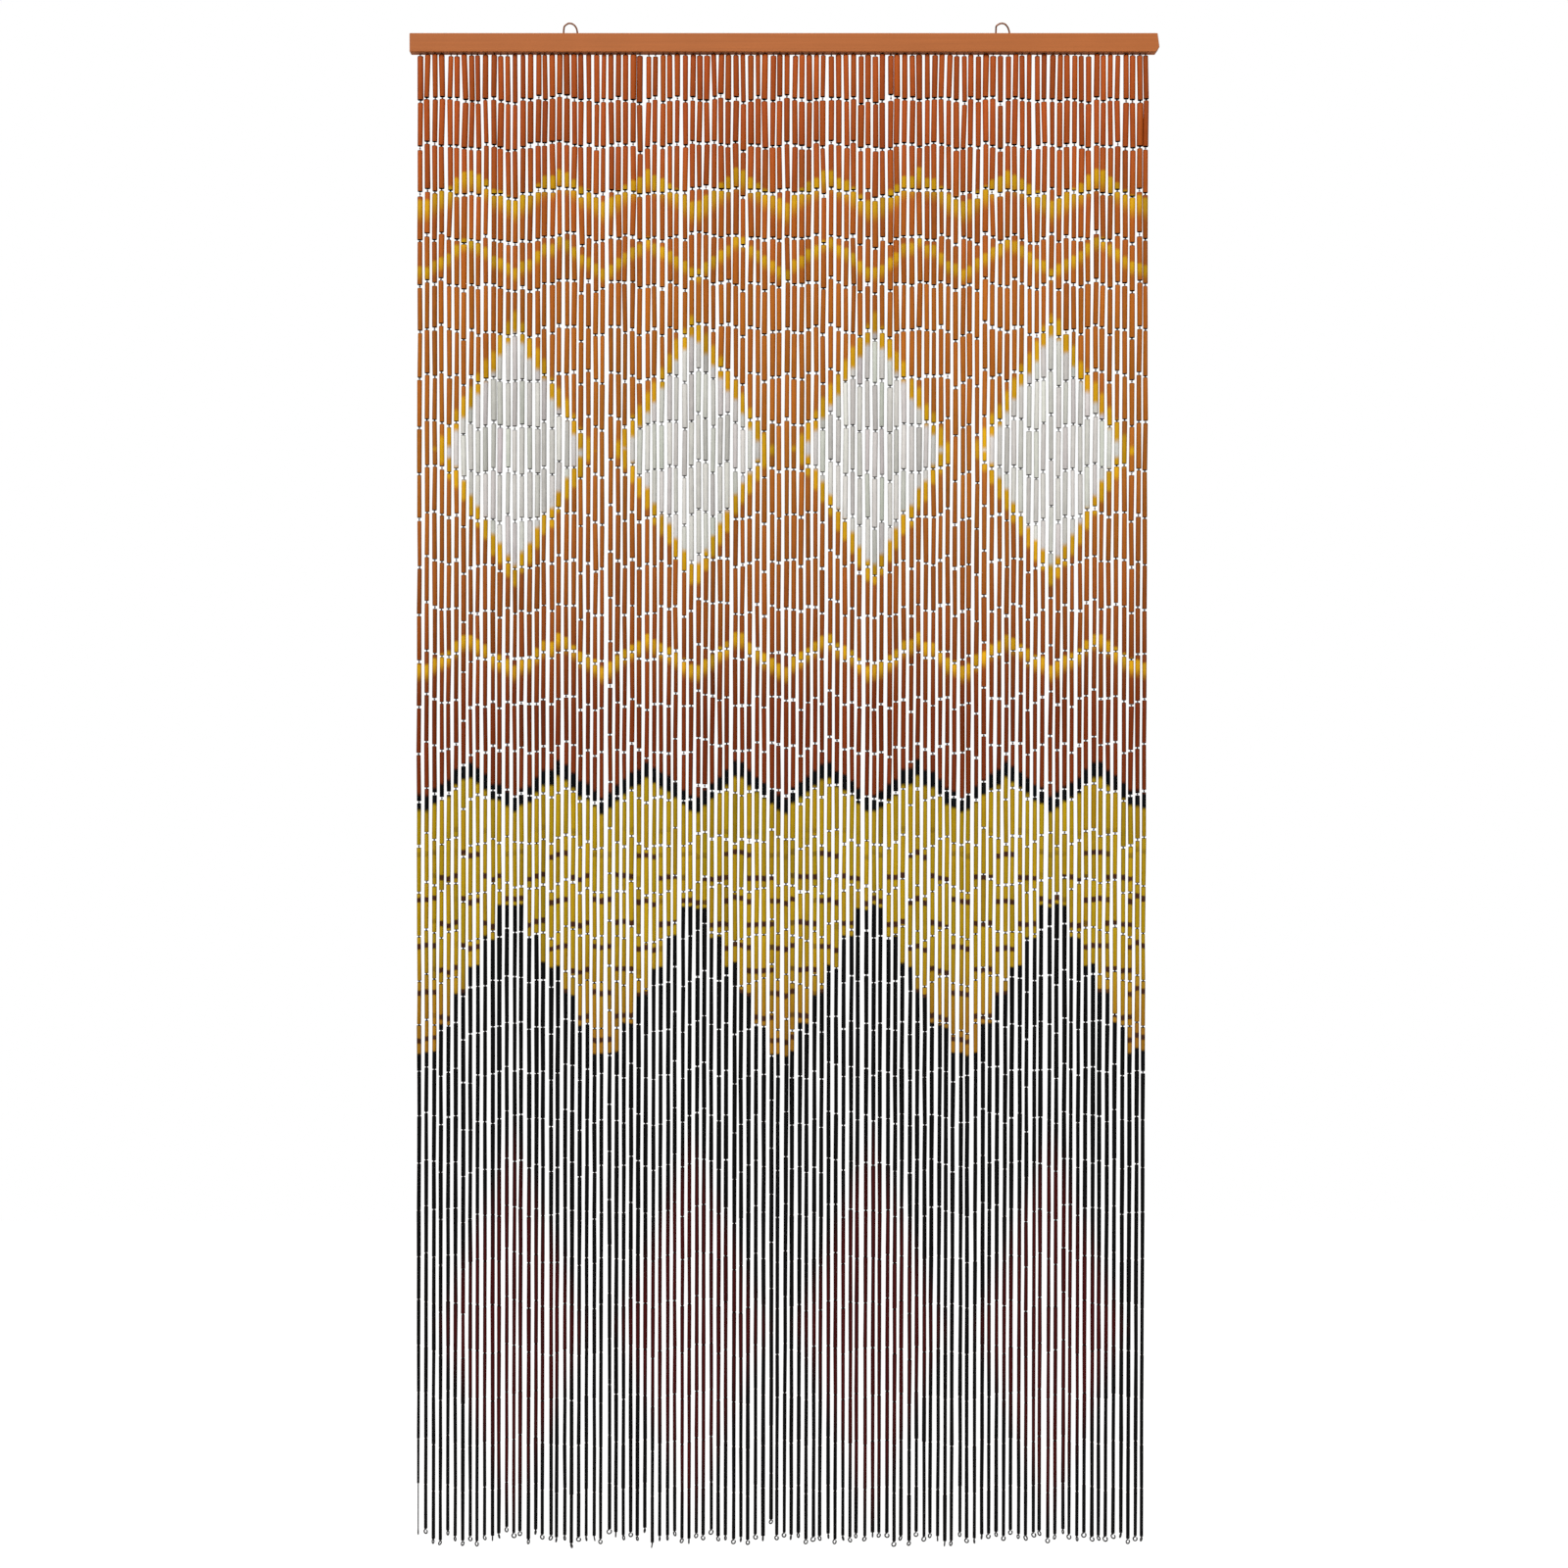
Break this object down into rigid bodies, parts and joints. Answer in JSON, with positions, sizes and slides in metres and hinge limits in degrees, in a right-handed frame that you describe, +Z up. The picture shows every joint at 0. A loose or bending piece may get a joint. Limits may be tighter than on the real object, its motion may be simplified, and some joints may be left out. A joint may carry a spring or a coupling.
{
  "type": "bamboo door curtain with header rail",
  "caption": "Doorway curtain: strings of wire-linked bamboo tube under a painted wooden header rail with wire hanging eyes.",
  "frame": {"origin": "midway between the insides of the two hanging eyes' crowns, where a pair of hooks carries the curtain", "axes": "+Z up along the hanging strands, +X along the header rail to the right as seen from the front, -Y out of the front"},
  "size_m": [0.9999, 0.016, 2.0388],
  "materials": {
    "painted_wood": "satin orange-brown paint over wood",
    "steel_wire": "dull drawn wire, slightly tarnished",
    "dyed_bamboo": "dyed and lacquered bamboo tube, painted in bands"
  },
  "bodies": {
    "root": {"header_rail": "painted_wood", "hanging_eye_left": "steel_wire", "hanging_eye_right": "steel_wire", "bamboo_strands": "dyed_bamboo"}
  },
  "joints": []
}
